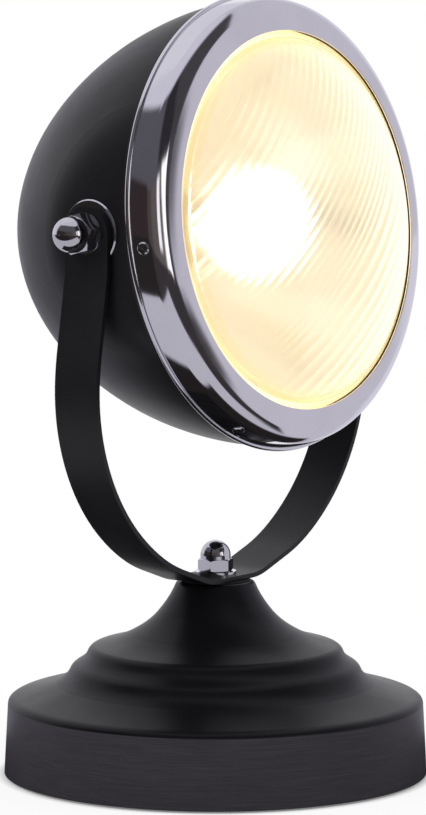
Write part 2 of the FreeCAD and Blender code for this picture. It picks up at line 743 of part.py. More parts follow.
def pivot_cap_nuts():
    nut = cap_nut(PIVOT_NUT_AF, PIVOT_NUT_HEX_T, PIVOT_NUT_DOME_R, PIVOT_NUT_H, PIVOT_NUT_H - 5.0)
    return both_sides(moved(turned(nut, Z, 8), z=ARM_HALF_W + WASHER_T))


# ---------------------------------------------------------------- export

FIXED_PIECES = [base_shell, base_felt, base_cover, cover_screw, ballast_weight, rod_washers, rod_nuts,
                neck_rod, swivel_washer, yoke_washer, yoke_cap_nut, yoke_strap]
HEAD_PIECES = [housing_dome, trim_ring, trim_screws, lens_glass, lens_gasket, lens_clips, reflector,
               bulb_glass, bulb_cap, holder_body, holder_contact, holder_plate, stem_tube, stem_nuts,
               cable_gland, terminal_block, earth_screw, lead_wires, pivot_plates, pivot_discs,
               pivot_washers, pivot_bolts, pivot_cap_nuts]


def as_list(made):
    return made if isinstance(made, list) else [made]


def head_placement():
    """Stands the head's axis forwards, lifted by the tilt, on the pivots."""
    return Placement(Vector(0, 0, PIVOT_Z), Rotation(X, 90 - HEAD_TILT))


def export(name, solids, placement=None):
    shapes = []
    for solid in solids:
        copy = solid.copy()
        if placement is not None:
            copy.transformShape(placement.toMatrix(), True)
        shapes.append(copy)
    whole = shapes[0] if len(shapes) == 1 else Part.makeCompound(shapes)
    whole.exportStep("parts/" + name + ".step")


def main():
    os.makedirs("parts", exist_ok=True)
    for make in FIXED_PIECES:
        solids = cover_screw_places(make()) if make is cover_screw else as_list(make())
        name = "cover_screws" if make is cover_screw else make.__name__
        export(name, solids)
    for make in HEAD_PIECES:
        export(make.__name__, as_list(make()), head_placement())


main()
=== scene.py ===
"""Looks for the tabletop searchlight lamp: materials, lamp light, camera and studio.

Metres, in the part's own frame: +Z up, origin at the centre of the underside, head facing -Y.
"""
import json
import math

import bpy
import numpy as np
from mathutils import Matrix, Vector


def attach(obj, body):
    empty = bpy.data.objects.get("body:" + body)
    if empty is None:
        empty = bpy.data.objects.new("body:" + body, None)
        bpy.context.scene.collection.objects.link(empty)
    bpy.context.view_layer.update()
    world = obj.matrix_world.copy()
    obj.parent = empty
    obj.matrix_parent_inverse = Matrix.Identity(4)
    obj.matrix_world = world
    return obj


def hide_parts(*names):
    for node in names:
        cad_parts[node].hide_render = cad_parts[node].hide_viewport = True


MM = 0.001

# Head frame: distances along the head's own axis are counted forwards from the pivots.
PIVOT_Z = 229.6 * MM
HEAD_TILT = math.radians(6.9)
AXIS_DROP = 3.1 * MM

# The studio is laid out round a fixed line: front of the set, and the set's right side.
SET_FRONT = (-0.792, -0.610, 0.0)
SET_RIGHT = (0.610, -0.792, 0.0)

# The camera stands at the front of the set. Its angles, distance and aim were fitted to the
# lamp's outlines in the photograph.
CAM_TURN = math.radians(52.4)
CAM_DOWN = math.radians(6.8)
CAM_DISTANCE = 2051.6 * MM
CAM_AIM_RIGHT, CAM_AIM_Z = -1.05 * MM, 152.1 * MM
CAM_LENS = 220.4
CAM_SENSOR = 36.0

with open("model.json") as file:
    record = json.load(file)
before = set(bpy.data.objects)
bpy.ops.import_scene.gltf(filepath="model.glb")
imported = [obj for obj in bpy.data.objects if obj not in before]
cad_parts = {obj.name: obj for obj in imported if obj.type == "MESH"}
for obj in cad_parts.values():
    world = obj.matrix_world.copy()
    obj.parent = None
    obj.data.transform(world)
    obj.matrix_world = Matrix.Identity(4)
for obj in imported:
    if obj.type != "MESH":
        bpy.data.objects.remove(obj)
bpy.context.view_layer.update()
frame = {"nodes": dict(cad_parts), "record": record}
nodes = frame["nodes"]


# ---------------------------------------------------------------- node helpers

class Graph:
    """A short way to build a material's nodes. Colours are plain red, green and blue."""

    def __init__(self, tree):
        self.tree = tree
        self.tree.nodes.clear()

    def add(self, kind, **settings):
        node = self.tree.nodes.new(kind)
        for key, value in settings.items():
            setattr(node, key, value)
        return node

    def link(self, out, into):
        self.tree.links.new(out, into)

    def feed(self, socket, value):
        """Link a socket to another, or set its colour or number."""
        if isinstance(value, bpy.types.NodeSocket):
            self.link(value, socket)
        elif socket.type == "RGBA":
            socket.default_value = (*value, 1.0)
        else:
            socket.default_value = value

    def math(self, operation, a, b=None):
        node = self.add("ShaderNodeMath", operation=operation)
        self.feed(node.inputs[0], a)
        if b is not None:
            self.feed(node.inputs[1], b)
        return node.outputs[0]

    def times(self, a, b):
        return self.math("MULTIPLY", a, b)

    def hypot(self, a, b):
        return self.math("SQRT", self.math("ADD", self.times(a, a), self.times(b, b)))

    def mix_color(self, factor, a, b):
        """Colour a where the factor is 0, b where it is 1."""
        node = self.add("ShaderNodeMix", data_type="RGBA")
        self.feed(node.inputs["Factor"], factor)
        self.feed(node.inputs[6], a)
        self.feed(node.inputs[7], b)
        return node.outputs[2]

    def mix_shader(self, factor, first, second):
        node = self.add("ShaderNodeMixShader")
        for socket, out in zip(node.inputs, (factor, first, second)):
            self.link(out, socket)
        return node.outputs[0]

    def light(self, kind, color):
        """An emission or background shader of strength 1."""
        node = self.add(kind)
        self.feed(node.inputs["Color"], color)
        node.inputs["Strength"].default_value = 1.0
        return node.outputs[0]

    def range(self, value, low, high, to_low, to_high, smooth=False):
        node = self.add("ShaderNodeMapRange", interpolation_type="SMOOTHSTEP" if smooth else "LINEAR")
        for socket, number in zip(node.inputs[1:5], (low, high, to_low, to_high)):
            socket.default_value = number
        self.feed(node.inputs[0], value)
        return node.outputs[0]

    def after(self, value, low, high):
        """A soft step from 0 below low to 1 above high."""
        return self.range(value, low, high, 0.0, 1.0, smooth=True)

    def before(self, value, low, high):
        """A soft step from 1 below low to 0 above high."""
        return self.range(value, low, high, 1.0, 0.0, smooth=True)

    def between(self, value, low, high, soft):
        """1 between low and high and 0 outside, with steps that reach soft to both sides."""
        rise = self.after(value, low - soft, low + soft)
        fall = self.before(value, high - soft, high + soft)
        return self.times(rise, fall)

    def tones(self, value, low, high, a, b):
        """Colour a up to low and b from high on, mixed evenly between them."""
        return self.mix_color(self.range(value, low, high, 0.0, 1.0), a, b)

    def blend(self, color, other, value, low, high):
        """The other colour where the value is past the soft edge from low to high."""
        return self.mix_color(self.after(value, low, high), color, other)

    def place(self):
        return self.add("ShaderNodeTexCoord").outputs["Object"]

    def along(self, axis, vector=None):
        """One coordinate of a vector, or of the place on the piece."""
        node = self.add("ShaderNodeSeparateXYZ")
        self.link(vector or self.place(), node.inputs[0])
        return node.outputs[axis]

    def dot(self, vector, axis):
        node = self.add("ShaderNodeVectorMath", operation="DOT_PRODUCT")
        self.link(vector, node.inputs[0])
        node.inputs[1].default_value = axis
        return node.outputs["Value"]

    def noise(self, scale, detail, roughness, place=None):
        """Soft noise from 0 to 1, at the place on the piece or at a stretched one."""
        node = self.add("ShaderNodeTexNoise")
        node.inputs["Scale"].default_value = scale
        node.inputs["Detail"].default_value = detail
        node.inputs["Roughness"].default_value = roughness
        self.link(place or self.place(), node.inputs["Vector"])
        return node.outputs["Fac"]

    def bump(self, height, strength, distance):
        node = self.add("ShaderNodeBump")
        node.inputs["Strength"].default_value = strength
        node.inputs["Distance"].default_value = distance
        self.link(height, node.inputs["Height"])
        return node.outputs["Normal"]

    def stretched(self, scale):
        node = self.add("ShaderNodeMapping")
        node.inputs["Scale"].default_value = scale
        self.link(self.place(), node.inputs["Vector"])
        return node.outputs["Vector"]


def new_material(name):
    material = bpy.data.materials.new(name)
    material.use_nodes = True
    graph = Graph(material.node_tree)
    output = graph.add("ShaderNodeOutputMaterial")
    return material, graph, output


def principled(graph, output, **inputs):
    """The main shader, with its inputs by name, written with _ for each space."""
    shader = graph.add("ShaderNodeBsdfPrincipled")
    for key, value in inputs.items():
        graph.feed(shader.inputs[key.replace("_", " ")], value)
    graph.link(shader.outputs[0], output.inputs["Surface"])


def varied(graph, color, spread, scale):
    """A colour with soft lighter and darker patches."""
    cloud = graph.noise(scale, 4.0, 0.55)
    dark = tuple(c * (1 - spread) for c in color)
    light = tuple(min(1.0, c * (1 + spread)) for c in color)
    return graph.tones(cloud, 0.3, 0.7, dark, light)


# ---------------------------------------------------------------- materials

# Heights where the black paint changes its look: top of the base's side band, top of its neck
BAND_TOP = 29.4 * MM, 29.9 * MM
NECK_TOP = 80.5 * MM, 82.5 * MM
BASE_BLACK = (0.0052, 0.0048, 0.006)
# Tones of the brushed side band, paler than the paint as a painted sheen
BRUSHED_SHEEN_DARK, BRUSHED_SHEEN_PALE = (0.027, 0.025, 0.0305), (0.046, 0.0425, 0.051)
BASE_SHINE = 0.75
DUST = (0.05, 0.05, 0.052)

# The lamp's own light, the painted glow of that light on the reflector and in the glass, and the radii
# from the head's axis where the glow changes its tone
BULB_LIGHT = (1.0, 0.90, 0.70), (1.0, 0.95, 0.80)
BULB_STRENGTH = 1.7
REFLECTOR_LIGHT = (0.36, 0.288, 0.174), (0.40, 0.322, 0.194)
REFLECTOR_BORDER, REFLECTOR_BORDER_LIGHT = (66.0 * MM, 70.0 * MM), (0.45, 0.32, 0.12)
GLASS_LIGHT = (0.232, 0.202, 0.147), (0.246, 0.216, 0.158)
GLASS_BORDER, GLASS_BORDER_LIGHT = (70.3 * MM, 71.2 * MM), (0.26, 0.19, 0.085)
GLASS_EDGE, GLASS_EDGE_LIGHT = (74.9 * MM, 75.7 * MM), (0.40, 0.31, 0.16)

# A patch of painted shade in the reflector's glow: its place across the axis, its dark core and the halo
# round it
PATCH_X, PATCH_Y = 57.5 * MM, -2.0 * MM
PATCH_CORE, PATCH_CORE_LIGHT = (2.0 * MM, 9.0 * MM), (0.05, 0.03, 0.01)
PATCH_HALO, PATCH_HALO_LIGHT = (7.0 * MM, 19.0 * MM), (0.26, 0.155, 0.05)
PATCH_HALO_SHARE = 0.55

# The lampholder has a painted glow of the bulb's light at its mouth, fading to nothing between these Y
# coordinates.
HOLDER_FADE = 4.0 * MM, 24.0 * MM


def satin_paint(name, color, rough, specular):
    """Satin enamel: a faint orange peel, small changes of gloss and a little dust.

    The base, up to the top of its neck, is darker and shines less. Its side band is brushed, and
    paler with a painted sheen.
    """
    material, graph, output = new_material(name)
    gloss = graph.noise(38.0, 4.0, 0.6)
    peel = graph.noise(1500.0, 2.0, 0.5)
    speck = graph.noise(2600.0, 1.0, 0.5)
    rings = graph.noise(55.0, 4.0, 0.75, graph.stretched((1.0, 1.0, 60.0)))
    height = graph.along("Z")
    dust = graph.range(speck, 0.70, 0.76, 0.0, 0.35, smooth=True)
    tone = graph.mix_color(dust, varied(graph, color, 0.22, 25.0), DUST)
    tone = graph.mix_color(graph.before(height, *NECK_TOP), tone, BASE_BLACK)
    # The brushed side band, paler with a painted sheen
    brushed = graph.tones(rings, 0.35, 0.65, BRUSHED_SHEEN_DARK, BRUSHED_SHEEN_PALE)
    tone = graph.mix_color(graph.before(height, *BAND_TOP), tone, brushed)
    principled(graph, output, Base_Color=tone,
               Roughness=graph.range(gloss, 0.3, 0.7, rough - 0.03, rough + 0.04),
               Specular_IOR_Level=graph.range(height, *NECK_TOP, specular * BASE_SHINE, specular),
               Normal=graph.bump(peel, 0.12, 0.00008))
    return material


def bright_metal(name, color, rough, wave, scratch=0.02):
    """Plated metal: slow waves from forming and very fine scratches."""
    material, graph, output = new_material(name)
    waves = graph.noise(wave, 2.0, 0.4)
    fine = graph.noise(900.0, 3.0, 0.6)
    smear = graph.noise(30.0, 4.0, 0.6)
    height = graph.math("ADD", waves, graph.times(fine, scratch))
    principled(graph, output, Base_Color=varied(graph, color, 0.03, 40.0), Metallic=1.0,
               Roughness=graph.range(smear, 0.3, 0.75, rough, rough + 0.05),
               Normal=graph.bump(height, 0.25, 0.0004))
    return material


def dull_steel(name, color, rough, glow=(0.0, 0.0, 0.0)):
    """Zinc plate or machined steel with a cloudy, directional grain."""
    material, graph, output = new_material(name)
    grain = graph.noise(700.0, 3.0, 0.7, graph.stretched((1.0, 1.0, 12.0)))
    cloud = graph.noise(60.0, 4.0, 0.6)
    # The glow, given only to the bulb cap, is painted light from the bulb
    principled(graph, output, Base_Color=varied(graph, color, 0.14, 90.0), Metallic=1.0,
               Roughness=graph.range(cloud, 0.3, 0.7, rough - 0.07, rough + 0.1),
               Normal=graph.bump(grain, 0.1, 0.0001), Emission_Color=glow, Emission_Strength=1.0)
    return material


def moulded(name, color, rough, specular=0.4, glow=None):
    """Moulded plastic, fibre or rubber with a fine grain. The glow is for the lampholder."""
    material, graph, output = new_material(name)
    grain = graph.noise(1800.0, 2.0, 0.5)
    cloud = graph.noise(45.0, 4.0, 0.5)
    light = {}
    # The glow is painted light: the bulb's light on the lampholder's mouth
    if glow:
        fade = graph.range(graph.along("Y"), *HOLDER_FADE, 1.0, 0.0)
        light = {"Emission_Color": glow, "Emission_Strength": fade}
    principled(graph, output, Base_Color=varied(graph, color, 0.16, 70.0),
               Roughness=graph.range(cloud, 0.3, 0.7, rough - 0.05, rough + 0.08),
               Specular_IOR_Level=specular, Normal=graph.bump(grain, 0.15, 0.0001), **light)
    return material


def rough_iron(name):
    material, graph, output = new_material(name)
    sand = graph.noise(420.0, 6.0, 0.7)
    principled(graph, output, Base_Color=varied(graph, (0.05, 0.05, 0.055), 0.35, 60.0), Metallic=0.6,
               Roughness=graph.range(sand, 0.3, 0.7, 0.55, 0.8), Normal=graph.bump(sand, 0.5, 0.0006))
    return material


def felt(name):
    material, graph, output = new_material(name)
    fibres = graph.noise(2200.0, 5.0, 0.8, graph.stretched((1.0, 0.35, 1.0)))
    principled(graph, output, Base_Color=varied(graph, (0.018, 0.02, 0.018), 0.45, 500.0),
               Roughness=0.95, Specular_IOR_Level=0.1, Normal=graph.bump(fibres, 0.6, 0.0005))
    return material


def head_matrix():
    """From the head's own frame (x across, y up, z forwards) to the part's frame."""
    turn = Matrix.Rotation(math.pi / 2 - HEAD_TILT, 4, "X")
    return Matrix.Translation((0, 0, PIVOT_Z)) @ turn @ Matrix.Translation((0, -AXIS_DROP, 0))


def head_place(graph):
    """How far a place is across the head's axis and above it, in metres."""
    back = head_matrix().inverted()
    node = graph.add("ShaderNodeMapping")
    node.inputs["Location"].default_value = back.to_translation()
    node.inputs["Rotation"].default_value = back.to_euler()
    graph.link(graph.place(), node.inputs["Vector"])
    parts = graph.add("ShaderNodeSeparateXYZ")
    graph.link(node.outputs["Vector"], parts.inputs[0])
    return parts.outputs["X"], parts.outputs["Y"]


def lit_reflector(name):
    """The bright dish: polished metal that also shows the lamp's own light.

    Its painted glow is warmer at the border, and a patch of painted shade lies at its right, behind the
    flutes.
    """
    material, graph, output = new_material(name)
    waves = graph.noise(35.0, 2.0, 0.5)
    glow = graph.noise(18.0, 3.0, 0.5)
    x, y = head_place(graph)
    # Painted light: the bulb's glow on the dish, warmer towards its border
    warm = graph.tones(glow, 0.25, 0.75, *REFLECTOR_LIGHT)
    warm = graph.blend(warm, REFLECTOR_BORDER_LIGHT, graph.hypot(x, y), *REFLECTOR_BORDER)
    # Painted shade: a dark core with a brownish halo, at the right of the dish
    away = graph.hypot(graph.math("SUBTRACT", x, PATCH_X), graph.math("SUBTRACT", y, PATCH_Y))
    halo = graph.range(away, *PATCH_HALO, PATCH_HALO_SHARE, 0.0, smooth=True)
    warm = graph.mix_color(halo, warm, PATCH_HALO_LIGHT)
    core = graph.before(away, *PATCH_CORE)
    warm = graph.mix_color(graph.times(core, core), warm, PATCH_CORE_LIGHT)
    principled(graph, output, Base_Color=varied(graph, (0.27, 0.26, 0.23), 0.05, 30.0), Metallic=1.0,
               Roughness=graph.range(waves, 0.3, 0.7, 0.12, 0.2), Normal=graph.bump(waves, 0.2, 0.0006),
               Emission_Color=warm, Emission_Strength=1.0)
    return material


def lit_bulb(name):
    """Frosted glass, bright with the lamp's own light."""
    material, graph, output = new_material(name)
    frost = graph.noise(600.0, 3.0, 0.6)
    principled(graph, output, Base_Color=(0.95, 0.93, 0.88),
               Roughness=graph.range(frost, 0.3, 0.7, 0.3, 0.45), Normal=graph.bump(frost, 0.1, 0.0001),
               Emission_Color=graph.tones(frost, 0.2, 0.8, *BULB_LIGHT), Emission_Strength=BULB_STRENGTH)
    return material


def pressed_glass(name):
    """Clear pressed glass with the lamp's light caught in it, warmer in the plain border and
    brighter at the edge."""
    material, graph, output = new_material(name)
    haze = graph.noise(260.0, 3.0, 0.6)
    ripple = graph.noise(70.0, 2.0, 0.5)
    radius = graph.hypot(*head_place(graph))
    # Painted light: the lamp's glow in the glass, warmer in the plain border and brighter at the edge
    caught = graph.tones(haze, 0.3, 0.7, *GLASS_LIGHT)
    caught = graph.blend(caught, GLASS_BORDER_LIGHT, radius, *GLASS_BORDER)
    caught = graph.blend(caught, GLASS_EDGE_LIGHT, radius, *GLASS_EDGE)
    principled(graph, output, Base_Color=varied(graph, (0.97, 0.96, 0.93), 0.01, 20.0),
               Transmission_Weight=1.0, IOR=1.5, Roughness=graph.range(haze, 0.3, 0.8, 0.14, 0.20),
               Normal=graph.bump(ripple, 0.1, 0.0004), Emission_Color=caught, Emission_Strength=1.0)
    return material


# One material for each slot of the record
MATERIALS = {
    "chrome": bright_metal("chrome_plate", (0.80, 0.79, 0.83), 0.05, 16.0, 0.012),
    "black_paint": satin_paint("satin_black", (0.0115, 0.0110, 0.0125), 0.36, 0.24),
    "chrome_hardware": bright_metal("chrome_hardware", (0.68, 0.68, 0.71), 0.07, 90.0),
    "zinc_steel": dull_steel("zinc_steel", (0.52, 0.53, 0.54), 0.38),
    "gasket_rubber": moulded("gasket_rubber", (0.02, 0.02, 0.02), 0.6),
    "phenolic": moulded("phenolic", (0.035, 0.02, 0.016), 0.28, 0.5, (0.34, 0.25, 0.12)),
    "brass": bright_metal("brass", (0.75, 0.55, 0.26), 0.24, 120.0, 0.05),
    "terminal_plastic": moulded("terminal_plastic", (0.72, 0.71, 0.65), 0.45),
    "wire_insulation": moulded("wire_insulation", (0.30, 0.12, 0.05), 0.4),
    "gland_plastic": moulded("gland_plastic", (0.012, 0.012, 0.012), 0.45),
    "fibre": moulded("fibre", (0.012, 0.011, 0.010), 0.6, 0.2),
    "cast_iron": rough_iron("cast_iron"),
    "felt": felt("felt"),
    "reflector_metal": lit_reflector("lit_reflector"),
    "bulb_glass": lit_bulb("lit_bulb"),
    "bulb_cap": dull_steel("cap_metal", (0.70, 0.69, 0.67), 0.28, (0.42, 0.34, 0.2)),
    "lens_glass": pressed_glass("pressed_glass"),
}

for part in frame["record"]["subparts"]:
    node = nodes[part["node"]]
    node.data.materials.clear()
    node.data.materials.append(MATERIALS[part["material_slot"]])


# ---------------------------------------------------------------- mesh helpers

SHARP_EDGE = math.radians(40.0)


def make_mesh(name, points, faces, smooth=True):
    """A new object; a smooth one keeps its sharp edges."""
    mesh = bpy.data.meshes.new(name)
    mesh.from_pydata([tuple(p) for p in points], [], [tuple(f) for f in faces])
    mesh.update()
    if smooth:
        mesh.polygons.foreach_set("use_smooth", [True] * len(mesh.polygons))
        mesh.set_sharp_from_angle(angle=SHARP_EDGE)
    piece = bpy.data.objects.new(name, mesh)
    bpy.context.scene.collection.objects.link(piece)
    return piece


def in_part(points):
    """Points of the head's frame in millimetres, as points of the part's frame in metres."""
    place = np.array(head_matrix())
    points = np.asarray(points, dtype=float) * MM
    return points @ place[:3, :3].T + place[:3, 3]


def dress(piece, body, slot, replaced):
    """Give a new piece its material and its body, and hide the CAD node that it stands for."""
    piece.data.materials.append(MATERIALS[slot])
    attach(piece, body)
    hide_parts(replaced)


def bridge(first, second, count):
    """Quads between two closed loops of the same length."""
    return [(first + k, second + k, second + (k + 1) % count, first + (k + 1) % count)
            for k in range(count)]


# ---------------------------------------------------------------- trim ring

# Millimetres in the head's frame: radius from its axis, distance s along it.
TRIM_SHEET = 0.8
BEAD_R, BEAD_RING_R, BEAD_S = 1.1, 92.0, 28.0
BEAD_CLEARANCE = 0.02

# Outer face of the ring, from the bead to the lip: radius, s and the heading there in degrees
TRIM_STOPS = [(92.0, 28.6, 98), (90.3, 36.2, 108), (89.2, 37.75, 137), (85.2, 40.4, 152),
              (82.3, 41.5, 162.5), (77.1, 43.05, 165)]

# Fineness of the outline: spacing in millimetres, bend from point to point in degrees, steps
OUTER_SPACING, INNER_SPACING = 0.3, 1.0
BEND_STEP = 2.5
LIP_STEPS, BEAD_STEPS = 10, 48

# The seats of the screws: angles round the ring in degrees, and a seat's place, tilt and radius
SCREW_ANGLES = (3, 183, 243, 303)
SEAT_R, SEAT_S, SEAT_TILT, SEAT_HOLE_R = 90.92, 33.5, math.radians(14.5), 2.6
SEAT_REACH = 1.5
TRIM_SPOKES = 1260


def heading(degrees):
    return np.array([math.cos(math.radians(degrees)), math.sin(math.radians(degrees))])


def angle_at(centre, point):
    return math.atan2(*(point - centre)[::-1])


def arc(centre, radius, start, end, steps):
    """Points of a circle from one angle to the other, with both ends."""
    turns = [start + (end - start) * i / steps for i in range(steps + 1)]
    return [centre + radius * np.array([math.cos(turn), math.sin(turn)]) for turn in turns]


def smooth_run(start, end, spacing):
    """Points of one edge of an outline, a cubic that bends evenly, without its last point."""
    a, b = np.array(start[:2]), np.array(end[:2])
    bend = abs(end[2] - start[2])
    chord = np.linalg.norm(b - a)
    steps = math.ceil(max(chord / spacing, bend / BEND_STEP))
    turn = math.radians(bend)
    handle = chord * 2 / 3 * math.tan(turn / 4) / math.sin(turn / 2)
    p1, p2 = a + heading(start[2]) * handle, b - heading(end[2]) * handle
    run = []
    for i in range(steps):
        f = i / steps
        g = 1 - f
        run.append(a * g ** 3 + p1 * 3 * g * g * f + p2 * 3 * g * f * f + b * f ** 3)
    return run


def outline(stops, spacing):
    run = []
    for start, end in zip(stops, stops[1:]):
        run += smooth_run(start, end, spacing)
    run.append(np.array(stops[-1][:2]))
    return run


def trim_profile():
    """The closed outline of the ring: band, lip, inside of the sheet and rolled bead."""
    inner_stops = []
    for radius, s, degrees in TRIM_STOPS:
        normal = heading(degrees + 90) * TRIM_SHEET
        inner_stops.append((radius + normal[0], s + normal[1], degrees))
    bead = np.array([BEAD_RING_R, BEAD_S])
    reach = BEAD_R + BEAD_CLEARANCE
    outer = [p for p in outline(TRIM_STOPS, OUTER_SPACING) if np.linalg.norm(p - bead) > reach]
    inner = [p for p in outline(inner_stops, INNER_SPACING) if np.linalg.norm(p - bead) > reach]
    lip_centre = (outer[-1] + inner[-1]) / 2
    lip_start = angle_at(lip_centre, outer[-1])
    lip = arc(lip_centre, TRIM_SHEET / 2, lip_start, lip_start + math.pi, LIP_STEPS)[1:-1]
    back = inner[::-1]
    roll = arc(bead, BEAD_R, angle_at(bead, back[-1]), angle_at(bead, outer[0]) + 2 * math.pi, BEAD_STEPS)
    return outer + lip + back + roll


def sink_seats(points):
    """Small flats in the band, where the screw heads sit."""
    for angle in SCREW_ANGLES:
        turn = math.radians(angle)
        seat = np.array([SEAT_R * math.cos(turn), SEAT_R * math.sin(turn), SEAT_S])
        normal = np.array([math.cos(SEAT_TILT) * math.cos(turn), math.cos(SEAT_TILT) * math.sin(turn),
                           math.sin(SEAT_TILT)])
        away = points - seat
        height = away @ normal
        across = np.linalg.norm(away - height[:, None] * normal, axis=1)
        sunk = (across < SEAT_HOLE_R) & (height > 0) & (height < SEAT_REACH)
        points[sunk] -= height[sunk, None] * normal


def spun_loop(profile, spokes):
    """Points and quads of a closed outline turned about the head's axis."""
    profile = np.array(profile)
    angles = np.arange(spokes) * 2 * math.pi / spokes
    around = np.stack([np.cos(angles), np.sin(angles)], axis=1)
    points = np.zeros((len(profile), spokes, 3))
    points[:, :, :2] = profile[:, 0][:, None, None] * around[None]
    points[:, :, 2] = profile[:, 1][:, None]
    faces = []
    for i in range(len(profile)):
        faces += bridge(i * spokes, (i + 1) % len(profile) * spokes, spokes)
    return points.reshape(-1, 3), faces


def trim_ring():
    points, faces = spun_loop(trim_profile(), TRIM_SPOKES)
    sink_seats(points)
    return make_mesh("trim_ring_fine", in_part(points), [f[::-1] for f in faces])


# ---------------------------------------------------------------- fluted lens

# Millimetres in the head's frame. The inner face of the glass is fluted up to FLUTED_R.
FLANGE_R, FLANGE_BACK, FLANGE_FRONT = 84.5, 35.4, 38.0
WALL_R, WALL_T, SHOULDER_S = 76.4, 2.2, 41.3
EDGE_R, EDGE_S = 75.2, 42.5
BULGE, LENS_T = 26.4, 3.0
INNER_R, INNER_S = EDGE_R - WALL_T, EDGE_S - LENS_T
ROUND = 0.3
FRONT_LOOPS = 60

# Section of the glass, from its inner face round the flange to its front edge: radius and s
LENS_SECTION = [(INNER_R, INNER_S - ROUND), (INNER_R, FLANGE_BACK + ROUND), (INNER_R + ROUND, FLANGE_BACK),
                (FLANGE_R - ROUND, FLANGE_BACK), (FLANGE_R, FLANGE_BACK + ROUND),
                (FLANGE_R, FLANGE_FRONT - ROUND), (FLANGE_R - ROUND, FLANGE_FRONT),
                (WALL_R + ROUND, FLANGE_FRONT), (WALL_R, FLANGE_FRONT + ROUND), (WALL_R, SHOULDER_S),
                (76.2, 41.7), (75.8, 42.15)]

# The flutes run at a slant, fine on one side of WIDE_FROM and wide on the other.
FLUTED_R = 70.8
PLAIN_RADII = (71.0, 71.5, 72.2, INNER_R - 0.2)
FLUTE_TURN = math.radians(-45.0)
FINE_PITCH, WIDE_PITCH, WIDE_FROM = 3.4, 6.4, 18.0
FINE_DEPTH, WIDE_DEPTH = 0.14, 0.21
FLUTE_LIFT, FLUTE_FADE = 0.3, 0.8

# Columns of points across the flutes, and the rows along each. Close to the round border the
# columns follow its angles, in degrees.
FINE_SAMPLES, WIDE_STRIDE = 12, 1.4
BORDER_ANGLES = [1.0 + 0.9 * i for i in range(11)]
ROWS = 72


def dish(radius, edge_r, edge_s, bulge):
    """Height of a dome over its edge."""
    ball = (edge_r ** 2 + bulge ** 2) / (2 * bulge)
    return edge_s + bulge - ball + math.sqrt(ball ** 2 - radius ** 2)


def flute_relief(across, radius):
    """Rounded ridges on the inner face, that die out at the plain border."""
    fine = across < WIDE_FROM
    pitch, depth = (FINE_PITCH, FINE_DEPTH) if fine else (WIDE_PITCH, WIDE_DEPTH)
    hump = abs(math.cos(math.pi * ((across - WIDE_FROM) / pitch + 0.5)))
    fade = min(1.0, max(0.0, (FLUTED_R - radius) / FLUTE_FADE))
    return (depth * (hump - 0.5) + FLUTE_LIFT) * fade


def lens_columns():
    """Places across the flutes, close enough for their shape and for the round border."""
    border = [FLUTED_R * math.cos(math.radians(a)) for a in BORDER_ANGLES]
    step = FINE_PITCH / FINE_SAMPLES
    places = [-u for u in border[:-1]]
    u = -border[-1]
    while u < border[-1]:
        places.append(u)
        u += step if u < WIDE_FROM else step * WIDE_STRIDE
    return places + border[::-1]


def fluted_lens():
    """The glass as one closed mesh: fluted inner face, border, flange, and the bulging front."""
    columns = lens_columns()
    cos, sin = math.cos(FLUTE_TURN), math.sin(FLUTE_TURN)
    points, faces = [], []

    def add(u, v, s):
        points.append((u * cos - v * sin, u * sin + v * cos, s))
        return len(points) - 1

    def inner_height(u, v):
        radius = math.hypot(u, v)
        return dish(radius, INNER_R, INNER_S, BULGE) - flute_relief(u, radius)

    left = add(-FLUTED_R, 0, inner_height(-FLUTED_R, 0))
    rows = []
    for u in columns:
        half = math.sqrt(FLUTED_R ** 2 - u ** 2)
        column = []
        for j in range(ROWS + 1):
            v = -half * math.cos(math.pi * j / ROWS)
            column.append(add(u, v, inner_height(u, v)))
        rows.append(column)
    right = add(FLUTED_R, 0, inner_height(FLUTED_R, 0))
    for j in range(ROWS):
        faces.append((left, rows[0][j + 1], rows[0][j]))
        faces.append((right, rows[-1][j], rows[-1][j + 1]))
    for a, b in zip(rows, rows[1:]):
        faces += [(a[j], a[j + 1], b[j + 1], b[j]) for j in range(ROWS)]

    border = [left] + [c[0] for c in rows] + [right] + [c[-1] for c in reversed(rows)]
    angles = [math.atan2(points[i][1], points[i][0]) for i in border]
    count = len(border)

    def loop(radius, s):
        first = len(points)
        points.extend((radius * math.cos(a), radius * math.sin(a), s) for a in angles)
        return first

    def joined(first, second):
        """Quads from a loop, or from the border of the fluted face, to the next loop."""
        for k in range(count):
            n = (k + 1) % count
            a, b = (border[k], border[n]) if first is None else (first + k, first + n)
            faces.append((a, b, second + n, second + k))
        return second

    last = None
    for radius in PLAIN_RADII:
        last = joined(last, loop(radius, dish(radius, INNER_R, INNER_S, BULGE)))
    for radius, s in LENS_SECTION:
        last = joined(last, loop(radius, s))
    for i in range(FRONT_LOOPS, 0, -1):
        radius = EDGE_R * i / FRONT_LOOPS
        last = joined(last, loop(radius, dish(radius, EDGE_R, EDGE_S, BULGE)))
    apex = len(points)
    points.append((0, 0, EDGE_S + BULGE))
    faces.extend((last + k, last + (k + 1) % count, apex) for k in range(count))
    return make_mesh("fluted_lens", in_part(points), faces)


# ---------------------------------------------------------------- fitting

dress(trim_ring(), "head", "chrome", "trim_ring")
dress(fluted_lens(), "head", "lens_glass", "lens_glass")


# ---------------------------------------------------------------- studio

# What metal and glass show of the studio was fitted to the reflections on the ring. Bearings
# and heights are in degrees, distances in metres, and each tone covers those before it.
WHITE = (1.0, 1.0, 1.0)
BRIGHT = (0.95, 0.95, 0.97)
LILAC = (0.59, 0.57, 0.645)
GREY_LIGHT = (0.62, 0.62, 0.64)

